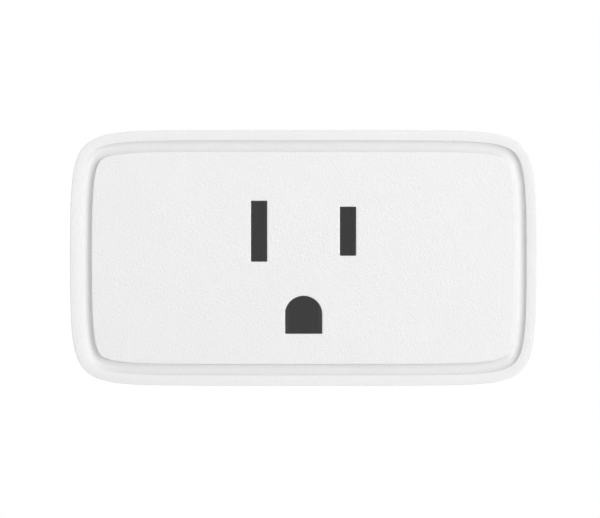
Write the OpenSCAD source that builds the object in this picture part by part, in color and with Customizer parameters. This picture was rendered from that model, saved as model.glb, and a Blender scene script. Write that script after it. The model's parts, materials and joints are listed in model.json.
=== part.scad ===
// Plug-in smart plug with one grounded outlet: a two-part housing round a relay,
// its power supply, a wireless board and the contacts that carry the current through.
// X is across, Y runs from the front face back to the wall, Z is up.
// The origin is the middle of the face that meets the wall.

/* [Housing] */
// Width of the housing
housing_w = 66.7; // [66:0.1:70]
// Height of the housing
housing_h = 36.5; // [36.3:0.1:39]
// Depth from the wall face to the front face
housing_d = 28; // [28:0.1:31]
// Wall thickness of both mouldings
wall = 2; // [1.8:0.05:2]
// Softness of the four corners
softness = 3.14; // [2.9:0.02:3.2]
// Depth of the rear cover
rear_d = 4.9; // [4.8:0.05:5]
// Gap that shows as the seam between the covers
seam = 0.12; // [0.08:0.01:0.15]

/* [Face] */
// Width of the flat rim outside the groove
rim_w = 1.48; // [1.2:0.02:1.6]
// Width of the groove round the face
groove_w = 1.6; // [1.2:0.05:1.7]
// Depth of the groove
groove_d = 0.7; // [0.4:0.05:0.9]

/* [Outlet] */
// Height of the blade line above the middle
blade_z = 3.8; // [3.7:0.05:3.9]
// Distance from the blade line down to the ground hole
ground_drop = 11.9; // [11.85:0.01:11.95]
// Width of both slots
slot_w = 2.3; // [2:0.05:2.4]
// Height of the neutral slot
neutral_slot_h = 8.7; // [8.2:0.05:8.8]
// Height of the line slot
line_slot_h = 7; // [6.8:0.05:7.4]
// Radius of the ground hole's round top
ground_hole_r = 2.67; // [2.6:0.01:2.8]
// Distance from the ground hole's centre to its flat bottom
ground_hole_foot = 2.75; // [2.65:0.05:2.8]

/* [Blades] */
// Length of each flat blade behind the wall face
blade_l = 17.5; // [15.9:0.1:18.3]
// Length of the ground pin behind the wall face
pin_l = 20.6; // [19.5:0.1:21.5]

/* [Button] */
// Height of the side button
button_h = 8.9; // [7:0.1:9.4]
// Width of the side button
button_w = 4.1; // [3.6:0.1:4.6]
// Travel of the side button
button_travel = 0.3; // [0.2:0.02:0.3]
// Gap round the side button
button_gap = 0.15; // [0.12:0.01:0.2]

/* [Relay] */
// Turn of the relay's armature, in degrees
armature_turn = 2.6; // [2:0.1:2.6]

/* [Hidden] */
$fn = 48;
eps = 0.01;
// Sizes that the plug standard fixes
blade_pitch = 12.7;
blade_w = 6.35;
blade_t = 1.52;
pin_r = 2.375;
pin_seat_r = 2.8;
blade_hole_r = 1.98;
blade_hole_y = 11.9;
half_w = housing_w / 2;
half_h = housing_h / 2;
outline_n = 18;
inset_softening = 0.35;
front_y = -housing_d;
front_in = front_y + wall;
rear_in = -wall;
pitch_x = blade_pitch / 2;
ground_z = blade_z - ground_drop;
// Screw pillars in the four corners
pillar_x = half_w - 5.35;
pillar_z = half_h - 5.45;
pillar_r = 3.2;
boss_r = 2.5;
screw_r = 1.25;
screw_l = 11;
screw_head_r = 2;
screw_head_h = 1.6;
// Main board
board_t = 1.6;
board_back = rear_in - 2.5;
board_front = board_back - board_t;
board_inset = 3.4;
board_screw_r = 0.9;
board_screws_at = [[-27, 0], [25.6, -8.6]];
strap_t = 0.5;
lead_r = 0.3;
// Outlet carrier
carrier_x = 10.6;
carrier_top = 10.2;
carrier_foot = -13;
carrier_y0 = front_in + 0.05;
carrier_y1 = -8;
carrier_wall = 1;
cap_y1 = board_front - 0.2;
well_x = 2.5;
well_z0 = -0.8;
well_z1 = 8.7;
ground_well_x = 3.3;
ground_well_z0 = -11.6;
ground_well_z1 = -4.8;
leaf_t = 0.45;
leaf_z0 = -0.4;
leaf_z1 = 8;
tail_w = 2.4;
tail_y1 = board_back + 0.6;
shoulder_y = rear_in - 1;
shoulder_w = 8.4;
blade_tail_w = 4;
blade_tail_y = board_front - 0.1;
retainer_y = rear_in - 1.5;
// Relay, in its own frame: x across, y along, z up from the board
relay_x = 18.4;
relay_z = 5.1;
relay_w = 12.8;
relay_l = 19;
relay_h = 15.3;
relay_shell = 0.6;
relay_lift = 0.2;
coil_y = -2.5;
hinge_y = -7.8;
hinge_h = 13.05;
contact_y = 5.9;
relay_pin_y = 7.95;
// Power parts on the board, as [x, z]
big_caps_at = [[-16, 9.6], [-16, 0.9]];
big_cap_r = 4;
choke_at = [-16, -7.2];
varistor_at = [17, -7.6];
fuse_at = [17, -12.4];
film_cap_at = [27.6, 2.8];
bridge_at = [-16.4, -12.8];
power_chip_at = [-3.6, 12.5];
regulator_at = [3.4, 12.5];
// Wireless board, which stands on the main board
radio_x0 = -23.4;
radio_x1 = -22.6;
radio_y0 = -24.4;
radio_z0 = -10;
radio_z1 = 12.6;
switch_y = -14;
switch_face = radio_x0 - 3;
led_z = 8;
plunger_tip = switch_face - 1.5;
button_face = 0.15 - half_w;
button_back = wall + 0.15 - half_w;

// ---- Outline and placing helpers ----

// One point of a quarter of the outline exp((x-a)/s) + exp((z-b)/s) = 1,
// found from the angle of its normal, which is eased so that long sides stay true
function quarter_point(a, b, s, t) =
  let (q = 90 * t * t * (3 - 2 * t), k = cos(q) + sin(q))
  t <= 0 ? [a, 0] : t >= 1 ? [0, b] : [a + s * ln(cos(q) / k), b + s * ln(sin(q) / k)];

function outline_point(a, b, s, j) =
  let (
    quadrant = floor(j / outline_n),
    step = j % outline_n,
    t = (quadrant % 2 == 0 ? step : outline_n - step) / outline_n,
    p = quarter_point(a, b, s, t)
  )
  [quadrant == 1 || quadrant == 2 ? -p[0] : p[0], quadrant >= 2 ? -p[1] : p[1]];

// The housing's outline, drawn in by an inset
module outline(inset = 0) {
  s = softness - inset_softening * inset;
  polygon([for (j = [0 : 4 * outline_n - 1])
    outline_point(half_w - inset, half_h - inset, s, j)]);
}

// A flat shape in x and z, given depth from y0 to y1
module slab(y0, y1) {
  translate([0, y1, 0])
    rotate([90, 0, 0])
      linear_extrude(y1 - y0)
        children();
}

module block(x, y, z) {
  translate([x[0], y[0], z[0]])
    cube([x[1] - x[0], y[1] - y[0], z[1] - z[0]]);
}

module rod_y(r, y0, y1, x, z) {
  translate([x, y1, z])
    rotate([90, 0, 0])
      cylinder(r = r, h = y1 - y0);
}

module rod_x(r, x0, x1, y, z) {
  translate([x0, y, z])
    rotate([0, 90, 0])
      cylinder(r = r, h = x1 - x0);
}

// A pill, standing along z, with depth along x
module pill_x(w, h, x0, x1, y, z) {
  straight = (h - w) / 2;
  rod_x(w / 2, x0, x1, y, z + straight);
  rod_x(w / 2, x0, x1, y, z - straight);
  block([x0, x1], [y - w / 2, y + w / 2], [z - straight, z + straight]);
}

// Puts a piece drawn upright on the front of the main board at x, z
module on_board(at) {
  translate([at[0], board_front, at[1]])
    rotate([90, 0, 0])
      children();
}

// A cross recess cut into a screw's head, which faces +Y at y
module cross_recess(x, z, y, size, depth, turn) {
  translate([x, y, z])
    rotate([0, turn, 0])
      for (a = [0, 90])
        rotate([0, a, 0])
          translate([-size / 2, -depth, -size / 8])
            cube([size, depth + eps, size / 4]);
}

module at_pillars() {
  for (x = [-pillar_x, pillar_x], z = [-pillar_z, pillar_z])
    translate([x, 0, z])
      children();
}

module upright_box(w, l, z0, z1) {
  translate([-w / 2, -l / 2, z0])
    cube([w, l, z1 - z0]);
}

// ---- Housing ----

module ground_hole_shape() {
  circle(r = ground_hole_r);
  translate([-ground_hole_r, -ground_hole_foot])
    square([2 * ground_hole_r, ground_hole_foot]);
}

module outlet_openings(y0, y1) {
  slab(y0, y1) {
    translate([-pitch_x - slot_w / 2, blade_z - neutral_slot_h / 2])
      square([slot_w, neutral_slot_h]);
    translate([pitch_x - slot_w / 2, blade_z - line_slot_h / 2])
      square([slot_w, line_slot_h]);
    translate([0, ground_z])
      ground_hole_shape();
  }
}

module front_cover() {
  edge_y = -rear_d - seam;
  color("white")
    difference() {
      union() {
        difference() {
          slab(front_y, edge_y)
            outline();
          slab(front_in, edge_y + 1)
            outline(wall);
        }
        at_pillars()
          rod_y(boss_r, front_in - eps, edge_y, 0, 0);
        difference() {
          block([-carrier_x - 1, carrier_x + 1], [front_in - eps, front_in + 2.5],
            [carrier_foot - 1, carrier_top + 1]);
          block([-carrier_x - 0.15, carrier_x + 0.15], [front_in, front_in + 3],
            [carrier_foot - 0.15, carrier_top + 0.15]);
        }
      }
      slab(front_y - 1, front_y + groove_d)
        difference() {
          outline(rim_w);
          outline(rim_w + groove_w);
        }
      outlet_openings(front_y - 1, front_in + 1);
      at_pillars()
        rod_y(screw_r + 0.03, rear_in - screw_l - 1, edge_y + 1, 0, 0);
      pill_x(button_w + 2 * button_gap, button_h + 2 * button_gap, -half_w - 1,
        2 * wall - half_w, switch_y, 0);
      rod_x(1.25, -half_w - 1, 2 * wall - half_w, switch_y, led_z);
    }
}

module rear_cover() {
  color("white")
    difference() {
      union() {
        difference() {
          slab(-rear_d, 0)
            outline();
          slab(-rear_d - 1, rear_in)
            outline(wall);
        }
        intersection() {
          at_pillars()
            rod_y(pillar_r, -rear_d, rear_in + eps, 0, 0);
          slab(-rear_d, 0)
            outline(wall / 2);
        }
        difference() {
          slab(-rear_d - 2, -rear_d + 1)
            outline(wall + 0.1);
          slab(-rear_d - 3, -rear_d + 2)
            outline(wall + 1.1);
          at_pillars()
            rod_y(boss_r + 0.3, -rear_d - 3, -rear_d, 0, 0);
        }
        slab(-rear_d, -rear_d + 1)
          difference() {
            outline(wall / 2);
            outline(wall + 1.1);
          }
        for (at = board_screws_at)
          rod_y(2.2, board_back, rear_in + eps, at[0], at[1]);
      }
      at_pillars() {
        rod_y(screw_r + 0.2, -rear_d - 1, rear_in + 1, 0, 0);
        rod_y(screw_head_r + 0.2, rear_in, 1, 0, 0);
      }
      for (at = board_screws_at)
        rod_y(board_screw_r + 0.03, board_back - 1, rear_in - 0.4, at[0], at[1]);
      for (side = [-1, 1])
        block([side * pitch_x - blade_t / 2 - 0.05, side * pitch_x + blade_t / 2 + 0.05],
          [rear_in - 1, 1], [blade_z - blade_w / 2 - 0.05, blade_z + blade_w / 2 + 0.05]);
      rod_y(pin_seat_r + 0.05, rear_in - 1, 1, 0, ground_z);
      block([12.4, 25.1], [-0.2, 1], [-9.1, 9.1]);
    }
}

module housing_screws() {
  head_y = rear_in + screw_head_h;
  color("silver")
    difference() {
      at_pillars() {
        rod_y(screw_r, rear_in - screw_l, rear_in + eps, 0, 0);
        rod_y(screw_head_r, rear_in, head_y, 0, 0);
      }
      for (i = [0, 1], j = [0, 1])
        cross_recess((2 * i - 1) * pillar_x, (2 * j - 1) * pillar_z, head_y, 2.6, 0.9,
          15 + 40 * i + 25 * j);
    }
}

module side_button() {
  color("white") {
    pill_x(button_w, button_h, button_face, button_back + eps, switch_y, 0);
    pill_x(button_w + 1.8, button_h + 1.8, button_back, button_back + 0.8, switch_y, 0);
    rod_x(1.5, button_back + 0.8 - eps, plunger_tip - 0.15, switch_y, 0);
  }
}

module led_light_pipe() {
  color("whitesmoke") {
    rod_x(1.2, 0.25 - half_w, radio_x0 - 1.1, switch_y, led_z);
    rod_x(1.8, wall + 0.5 - half_w, wall + 1.4 - half_w, switch_y, led_z);
  }
}

module rating_label() {
  color("gainsboro")
    block([12.5, 25], [-0.2, -0.08], [-9, 9]);
}

// ---- Outlet and blades ----

module contact_tail_slots(y0, y1) {
  for (side = [-1, 1])
    block([side * pitch_x - tail_w / 2 - 0.05, side * pitch_x + tail_w / 2 + 0.05],
      [y0, y1], [leaf_z1 - 0.05, leaf_z1 + leaf_t + 0.05]);
  block([-tail_w / 2 - 0.05, tail_w / 2 + 0.05], [y0, y1], ground_tail_z(0.05));
}

function ground_tail_z(gap) = [ground_well_z0 + 0.2 - gap, ground_well_z0 + 0.2 + leaf_t + gap];

module socket_carrier() {
  color("dimgray")
    difference() {
      block([-carrier_x, carrier_x], [carrier_y0, carrier_y1], [carrier_foot, carrier_top]);
      outlet_openings(carrier_y0 - 1, carrier_y0 + carrier_wall + 1);
      for (side = [-1, 1])
        block([side * pitch_x - well_x, side * pitch_x + well_x],
          [carrier_y0 + carrier_wall, carrier_y1 + 1], [well_z0, well_z1]);
      block([-ground_well_x, ground_well_x], [carrier_y0 + carrier_wall, carrier_y1 + 1],
        [ground_well_z0, ground_well_z1]);
    }
}

module carrier_cap() {
  color("dimgray")
    difference() {
      block([-carrier_x, carrier_x], [carrier_y1, cap_y1], [carrier_foot, carrier_top]);
      contact_tail_slots(carrier_y1 - 1, cap_y1 + 1);
      rod_y(2.7, carrier_y1 - 1, cap_y1 - 0.8, 0, ground_z);
    }
}

// Spring leaf in x and y: flared mouth, pinch, then a straight back
module leaf(mouth, pinch, back, y_mouth, y_pinch, y_back, z0, z1) {
  inner = [[mouth, y_mouth], [pinch, y_pinch], [back, y_pinch + 5], [back, y_back]];
  outer = [for (i = [3 : -1 : 0]) [inner[i][0] + leaf_t, inner[i][1]]];
  translate([0, 0, z0])
    linear_extrude(z1 - z0)
      polygon(concat(inner, outer));
}

module blade_contact(x) {
  y_back = carrier_y1 - 1.5;
  translate([x, 0, 0]) {
    for (side = [0, 1])
      mirror([side, 0, 0])
        leaf(1.6, 0.6, 1.15, carrier_y0 + carrier_wall + 0.4, -20.5, y_back, leaf_z0, leaf_z1);
    block([-1.6, 1.6], [y_back - 4, y_back], [leaf_z1 - eps, leaf_z1 + leaf_t]);
    block([-tail_w / 2, tail_w / 2], [y_back - eps, tail_y1], [leaf_z1, leaf_z1 + leaf_t]);
  }
}

module neutral_contact() {
  color("goldenrod")
    blade_contact(-pitch_x);
}

module line_contact() {
  color("goldenrod")
    blade_contact(pitch_x);
}

module ground_contact() {
  z = ground_tail_z(0);
  y_back = carrier_y1 - 0.4;
  color("goldenrod") {
    for (side = [0, 1])
      mirror([side, 0, 0])
        leaf(2.6, 2.1, 2.4, carrier_y0 + carrier_wall + 0.4, -20, y_back, z[0], -5.6);
    block([-2.6, 2.6], [y_back - 5, y_back], z);
    block([-tail_w / 2, tail_w / 2], [y_back - eps, tail_y1], z);
  }
}

// Flat blade with a tapered tip, a shoulder behind the wall and a solder tail
module flat_blade(x) {
  taper = 2;
  half = blade_w / 2;
  root_y = rear_in - 0.5;
  translate([x, 0, blade_z])
    difference() {
      union() {
        intersection() {
          translate([-blade_t / 2, 0, 0])
            rotate([90, 0, 90])
              linear_extrude(blade_t)
                polygon([[root_y, -half], [blade_l - taper, -half], [blade_l, -half + 1.1],
                  [blade_l, half - 1.1], [blade_l - taper, half], [root_y, half]]);
          translate([0, 0, -half])
            linear_extrude(blade_w)
              polygon([[-blade_t / 2, root_y], [blade_t / 2, root_y],
                [blade_t / 2, blade_l - taper], [0.35, blade_l], [-0.35, blade_l],
                [-blade_t / 2, blade_l - taper]]);
        }
        block([-blade_t / 2, blade_t / 2], [shoulder_y, rear_in],
          [-shoulder_w / 2, shoulder_w / 2]);
        block([-blade_t / 2, blade_t / 2], [blade_tail_y, shoulder_y + eps],
          [-blade_tail_w / 2, blade_tail_w / 2]);
      }
      rod_x(blade_hole_r, -blade_t, blade_t, blade_hole_y, 0);
    }
}

module neutral_blade() {
  color("silver")
    flat_blade(-pitch_x);
}

module line_blade() {
  color("silver")
    flat_blade(pitch_x);
}

module ground_pin() {
  profile = [[0, pin_l], [0.9, pin_l], [1.8, pin_l - 0.7], [pin_r, pin_l - 2.2],
    [pin_r, 0], [pin_seat_r, 0], [pin_seat_r, rear_in], [3.4, rear_in], [3.4, shoulder_y],
    [1.5, shoulder_y], [1.5, blade_tail_y], [0, blade_tail_y]];
  color("silver")
    translate([0, 0, ground_z])
      rotate([-90, 0, 0])
        rotate_extrude($fn = 64)
          polygon(profile);
}

module blade_retainer() {
  color("dimgray")
    difference() {
      block([-carrier_x, carrier_x], [retainer_y, rear_in], [carrier_foot + 0.5, 9.4]);
      for (side = [-1, 1]) {
        block([side * pitch_x - blade_t / 2 - 0.05, side * pitch_x + blade_t / 2 + 0.05],
          [shoulder_y, rear_in + 1],
          [blade_z - shoulder_w / 2 - 0.05, blade_z + shoulder_w / 2 + 0.05]);
        block([side * pitch_x - blade_t / 2 - 0.05, side * pitch_x + blade_t / 2 + 0.05],
          [retainer_y - 1, rear_in + 1],
          [blade_z - blade_tail_w / 2 - 0.05, blade_z + blade_tail_w / 2 + 0.05]);
      }
      rod_y(3.45, shoulder_y, rear_in + 1, 0, ground_z);
      rod_y(1.55, retainer_y - 1, rear_in + 1, 0, ground_z);
      contact_tail_slots(retainer_y - 1, rear_in + 1);
    }
}

module blade_tail_slots(y0, y1) {
  for (side = [-1, 1])
    block([side * pitch_x - blade_t / 2 - 0.05, side * pitch_x + blade_t / 2 + 0.05],
      [y0, y1], [blade_z - blade_tail_w / 2 - 0.05, blade_z + blade_tail_w / 2 + 0.05]);
  rod_y(1.55, y0, y1, 0, ground_z);
}

// A copper strap on the back of the board, open where tails and pins come through
module strap() {
  y1 = board_back + strap_t;
  color("peru")
    difference() {
      slab(board_back, y1)
        children();
      contact_tail_slots(board_back - 1, y1 + 1);
      blade_tail_slots(board_back - 1, y1 + 1);
      relay_pin_slots(board_back - 1, y1 + 1);
    }
}

module neutral_strap() {
  strap()
    translate([-pitch_x - 1.7, 1.2])
      square([3.4, 8.2]);
}

module line_in_strap() {
  strap() {
    translate([pitch_x - 1.7, -4.2])
      square([3.4, 10.4]);
    translate([pitch_x - 1.7, -4.2])
      square([15.4, 2.6]);
  }
}

module line_out_strap() {
  strap() {
    translate([pitch_x - 1.7, 7.3])
      square([3.4, 6.9]);
    translate([pitch_x - 1.7, 11.9])
      square([15.4, 2.3]);
  }
}

module ground_strap() {
  strap()
    translate([-2.4, ground_well_z0 - 0.6])
      square([4.8, 6]);
}

// ---- Main board ----

module relay_pin_slots(y0, y1) {
  for (side = [-1, 1])
    block([relay_x - 1.3, relay_x + 1.3], [y0, y1],
      [relay_z + side * relay_pin_y - 0.35, relay_z + side * relay_pin_y + 0.35]);
}

// Every place where a round lead comes down to the board, as [x, z]
leads_at = concat(
  [for (at = big_caps_at, side = [-1, 1]) [at[0] + 1.75 * side, at[1]]],
  [for (side = [-1, 1]) [choke_at[0] + 2 * side, choke_at[1]]],
  [for (side = [-1, 1]) [varistor_at[0] + 2.5 * side, varistor_at[1]]],
  [for (side = [-1, 1]) [fuse_at[0] + 5.2 * side, fuse_at[1]]],
  [for (side = [-1, 1]) [film_cap_at[0], film_cap_at[1] + 5 * side]]
);
coil_pins_at = [for (side = [-1, 1]) [relay_x + 4 * side, relay_z + 3]];
header_z = [for (i = [0 : 6]) radio_z0 + 2.2 + 2.54 * i];

module main_board() {
  color("darkgreen")
    difference() {
      slab(board_front, board_back)
        outline(board_inset);
      at_pillars()
        rod_y(pillar_r + 0.25, board_front - 1, board_back + 1, 0, 0);
      for (at = board_screws_at)
        rod_y(board_screw_r + 0.15, board_front - 1, board_back + 1, at[0], at[1]);
      contact_tail_slots(board_front - 1, board_back + 1);
      blade_tail_slots(board_front - 1, board_back + 1);
      relay_pin_slots(board_front - 1, board_back + 1);
      for (at = concat(leads_at, coil_pins_at))
        rod_y(lead_r + 0.03, board_front - 1, board_back + 1, at[0], at[1]);
      for (z = header_z)
        block([radio_x1 - 0.03, radio_x1 + 0.53], [board_front - 1, board_back + 1],
          [z - 0.28, z + 0.28]);
    }
}

module board_screws() {
  color("silver")
    for (at = board_screws_at)
      difference() {
        union() {
          rod_y(board_screw_r, board_front - eps, rear_in - 0.8, at[0], at[1]);
          rod_y(1.8, board_front - 1, board_front, at[0], at[1]);
        }
        for (a = [30, 120])
          translate([at[0], board_front - 1.01, at[1]])
            rotate([0, a, 0])
              translate([-1.1, 0, -0.25])
                cube([2.2, 0.6, 0.5]);
      }
}

// ---- Relay ----

module in_relay() {
  on_board([relay_x, relay_z])
    children();
}

// A flat shape in the relay's y and z, given width w across x
module relay_bar(w) {
  translate([-w / 2, 0, 0])
    rotate([90, 0, 90])
      linear_extrude(w)
        children();
}

module relay_base() {
  color("black")
    in_relay()
      difference() {
        upright_box(relay_w - 1.4, relay_l - 1.4, relay_lift + 0.1, 1.8);
        for (side = [-1, 1])
          translate([-1.3, side * relay_pin_y - 0.35, -1])
            cube([2.6, 0.7, 4]);
        for (side = [-1, 1])
          translate([4 * side, 3, -1])
            cylinder(r = lead_r + 0.03, h = 4);
      }
}

module relay_cover() {
  color("navy")
    in_relay()
      difference() {
        upright_box(relay_w, relay_l, relay_lift, relay_lift + relay_h);
        upright_box(relay_w - 2 * relay_shell, relay_l - 2 * relay_shell, -1,
          relay_lift + relay_h - relay_shell);
      }
}

module relay_bobbin() {
  color("ivory")
    in_relay() {
      translate([0, coil_y, 0])
        difference() {
          union() {
            cylinder(r = 2.7, h = 11.7);
            translate([0, 0, 2.75])
              cylinder(r = 4.6, h = 0.7);
            translate([0, 0, 11])
              cylinder(r = 4.6, h = 0.7);
          }
          translate([0, 0, -1])
            cylinder(r = 2.05, h = 20);
          translate([-3, -3, -1])
            cube([6, 6, 3.75]);
        }
      translate([-4.8, coil_y + 4.2, 2.75])
        cube([9.6, 2.2, 0.7]);
    }
}

module relay_winding() {
  color("chocolate")
    in_relay()
      translate([0, coil_y, 3.45])
        difference() {
          cylinder(r = 4.2, h = 7.55);
          translate([0, 0, -1])
            cylinder(r = 2.7, h = 10);
        }
}

module relay_core() {
  color("gray")
    in_relay()
      translate([0, coil_y, 0]) {
        translate([0, 0, 2.7])
          cylinder(r = 2, h = 9.5);
        translate([0, 0, 11.75])
          cylinder(r = 2.9, h = 0.85);
      }
}

module relay_yoke() {
  color("gray")
    in_relay() {
      relay_bar(8.4)
        polygon([[-8.3, 1.9], [1.5, 1.9], [1.5, 2.7], [-7.3, 2.7], [-7.3, 12.9], [-8.3, 12.9]]);
      relay_bar(2.4)
        polygon([[-8.2, -2.2], [-7.7, -2.2], [-7.7, 2], [-8.2, 2]]);
    }
}

module relay_armature() {
  color("gray")
    in_relay()
      relay_bar(8.4)
        polygon([[hinge_y - 0.7, hinge_h], [2.2, hinge_h], [2.2, hinge_h + 1],
          [hinge_y - 0.7, hinge_h + 1]]);
}

module relay_contact_spring() {
  color("goldenrod")
    in_relay()
      translate([0, 0, hinge_h + 1])
        difference() {
          translate([-2.6, -7, 0])
            cube([5.2, 14.4, 0.2]);
          translate([0, contact_y, -1])
            cylinder(r = 0.8, h = 2);
        }
}

module relay_moving_contact() {
  color("silver")
    in_relay()
      translate([0, contact_y, hinge_h]) {
        translate([0, 0, 0.25]) {
          cylinder(r = 1.4, h = 0.75);
          cylinder(r = 0.78, h = 1);
        }
        translate([0, 0, 1.2])
          cylinder(r = 1, h = 0.25);
      }
}

module relay_fixed_terminal() {
  color("goldenrod")
    in_relay() {
      relay_bar(4)
        polygon([[4.2, 11.45], [7.7, 11.45], [7.7, 11], [8.2, 11], [8.2, 11.95], [4.2, 11.95]]);
      relay_bar(2.4)
        polygon([[7.7, -2.2], [8.2, -2.2], [8.2, 11.5], [7.7, 11.5]]);
    }
}

module relay_fixed_contact() {
  color("silver")
    in_relay()
      translate([0, contact_y, 11.95])
        cylinder(r = 1.4, h = 0.57);
}

module relay_return_spring() {
  color("goldenrod")
    in_relay()
      relay_bar(4)
        polygon([[-8.3, 7.5], [-8.3, 12.4], [-8.6, 12.9], [-8.6, 14.1], [-7.3, 14.1],
          [-7.3, 14.3], [-8.8, 14.3], [-8.8, 12.8], [-8.5, 12.35], [-8.5, 7.5]]);
}

module relay_coil_pins() {
  color("silver")
    for (at = coil_pins_at)
      on_board(at)
        translate([0, 0, -2])
          cylinder(r = lead_r, h = 4.75);
}

// ---- Power parts ----

module electrolytic_capacitors() {
  color("midnightblue")
    for (at = big_caps_at)
      on_board(at)
        rotate_extrude()
          polygon([[0, 0.4], [3.7, 0.4], [big_cap_r, 0.7], [big_cap_r, 1.6], [3.65, 2],
            [big_cap_r, 2.4], [big_cap_r, 12.1], [3.7, 12.4], [3.3, 12.4], [3.1, 12.2], [0, 12.2]]);
}

module choke_core() {
  color("dimgray")
    on_board(choke_at)
      rotate_extrude()
        polygon([[0, 0.6], [3, 0.6], [3, 1.4], [1.5, 1.4], [1.5, 8.2], [3, 8.2], [3, 9], [0, 9]]);
}

module choke_winding() {
  color("chocolate")
    on_board(choke_at)
      rotate_extrude()
        polygon([[1.5, 1.4], [2.8, 1.4], [2.8, 8.2], [1.5, 8.2]]);
}

module varistor() {
  color("royalblue")
    on_board(varistor_at)
      translate([0, 1.8, 6.2])
        rotate([90, 0, 0])
          rotate_extrude()
            polygon([[0, 0], [3.9, 0], [4.6, 0.7], [4.6, 2.9], [3.9, 3.6], [0, 3.6]]);
}

module fuse_resistor() {
  color("olivedrab")
    on_board(fuse_at)
      translate([-4.2, 0, 2.3])
        rotate([0, 90, 0])
          rotate_extrude()
            polygon([[0, 0], [1.4, 0], [1.7, 0.3], [1.7, 1.6], [1.45, 1.9], [1.45, 6.5],
              [1.7, 6.8], [1.7, 8.1], [1.4, 8.4], [0, 8.4]]);
}

module film_capacitor() {
  color("gold")
    on_board(film_cap_at)
      upright_box(4, 12.4, 0.5, 9.5);
}

module bridge_rectifier() {
  color("black")
    on_board(bridge_at)
      upright_box(4.7, 2.6, 0.1, 2.4);
}

module power_chip() {
  color("black")
    on_board(power_chip_at)
      upright_box(4.9, 2.5, 0.15, 1.6);
}

module regulator_chip() {
  color("black")
    on_board(regulator_at)
      upright_box(2.9, 1.4, 0.1, 1.1);
}

// Gull-wing legs in two rows beside a chip
module chip_legs(at, l, n, pitch) {
  on_board(at)
    for (side = [-1, 1], i = [0 : n - 1])
      translate([(i - (n - 1) / 2) * pitch - 0.2, side > 0 ? l / 2 : -l / 2 - 0.6, 0])
        cube([0.4, 0.6, 0.3]);
}

module component_leads() {
  color("silver") {
    for (i = [0 : 3])
      on_board(leads_at[i])
        translate([0, 0, -2])
          cylinder(r = lead_r, h = 2.4);
    for (i = [4, 5])
      on_board(leads_at[i])
        translate([0, 0, -2])
          cylinder(r = lead_r, h = 2.6);
    for (i = [6, 7])
      on_board(leads_at[i])
        translate([0, 0, -2])
          cylinder(r = lead_r, h = 4.25);
    for (i = [8, 9])
      on_board(leads_at[i]) {
        translate([0, 0, -2])
          cylinder(r = lead_r, h = 4.3);
        translate([0, 0, 2.3])
          sphere(r = lead_r);
        translate([i == 8 ? 0 : -1, 0, 2.3])
          rotate([0, 90, 0])
            cylinder(r = lead_r, h = 1);
      }
    for (i = [10, 11])
      on_board(leads_at[i])
        translate([0, 0, -2])
          cylinder(r = lead_r, h = 2.5);
    chip_legs(bridge_at, 2.6, 2, 2.5);
    chip_legs(power_chip_at, 2.5, 4, 1.27);
    chip_legs(regulator_at, 1.4, 2, 1.9);
  }
}

// Small ceramic parts on the main board
small_chips_at = concat(
  [for (x = [-29, -26.2], z = [-8.4, -5.6, 4.2, 7]) [x, z]],
  [for (x = [-8.6, 7.6]) [x, 12.6]],
  [for (z = [-11, -8.2]) [-12, z]]
);

module chip_components() {
  color("tan")
    for (at = small_chips_at)
      on_board(at)
        upright_box(1.25, 2, 0, 0.7);
}

// ---- Wireless board, switch and lamp ----

module wifi_board() {
  color("darkgreen")
    block([radio_x0, radio_x1], [radio_y0, board_front - 0.1], [radio_z0, radio_z1]);
}

module wifi_chip() {
  color("black")
    block([radio_x1, radio_x1 + 0.8], [-17.4, -12.4], [-2, 3]);
}

module wifi_shield() {
  color("silver")
    difference() {
      block([radio_x1, radio_x1 + 2], [-19.6, -10.2], [-5, 6]);
      block([radio_x1 - 1, radio_x1 + 1.75], [-19.35, -10.45], [-4.75, 5.75]);
    }
}

// Meander of copper: runs along y, joined alternately at each end
module antenna_trace() {
  runs = 9;
  track = 0.5;
  step = 1.6;
  y = [radio_y0 + 0.7, radio_y0 + 3.9];
  color("peru")
    for (i = [0 : runs - 1]) {
      z = -7 + step * i;
      block([radio_x1, radio_x1 + 0.1], y, [z, z + track]);
      if (i < runs - 1)
        block([radio_x1, radio_x1 + 0.1],
          i % 2 == 0 ? [y[0], y[0] + track] : [y[1] - track, y[1]], [z, z + step + track]);
    }
}

module header_pins() {
  color("gold")
    for (z = header_z)
      block([radio_x1, radio_x1 + 0.5], [board_front - 3, board_back + 0.5],
        [z - 0.25, z + 0.25]);
}

module tact_switch_body() {
  color("black")
    difference() {
      block([switch_face, radio_x0], [switch_y - 3, switch_y + 3], [-3, 3]);
      rod_x(2.4, switch_face - 1, radio_x0 - 0.8, switch_y, 0);
    }
}

// Thin domed disc, open towards the board
module switch_dome() {
  rise = 0.75;
  edge = 2.1;
  sheet = 0.1;
  ball = (edge * edge + rise * rise) / (2 * rise);
  color("silver")
    translate([radio_x0 - 0.8, switch_y, 0])
      rotate([0, -90, 0])
        difference() {
          intersection() {
            translate([0, 0, rise - ball])
              sphere(r = ball, $fn = 64);
            cylinder(r = edge, h = 1);
          }
          translate([0, 0, rise - ball])
            sphere(r = ball - sheet, $fn = 64);
        }
}

module tact_switch_plunger() {
  color("black") {
    rod_x(0.8, switch_face + 0.8, switch_face + 1.3, switch_y, 0);
    rod_x(2.25, switch_face + 0.2, switch_face + 0.9, switch_y, 0);
    rod_x(1.7, plunger_tip, switch_face + 0.3, switch_y, 0);
  }
}

module tact_switch_cover() {
  color("silver")
    difference() {
      block([switch_face - 0.2, switch_face], [switch_y - 3, switch_y + 3], [-3, 3]);
      rod_x(1.85, switch_face - 1, switch_face + 1, switch_y, 0);
    }
}

module status_led() {
  color("lightyellow")
    block([radio_x0 - 0.8, radio_x0], [switch_y - 0.6, switch_y + 0.6],
      [led_z - 0.8, led_z + 0.8]);
}

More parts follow.
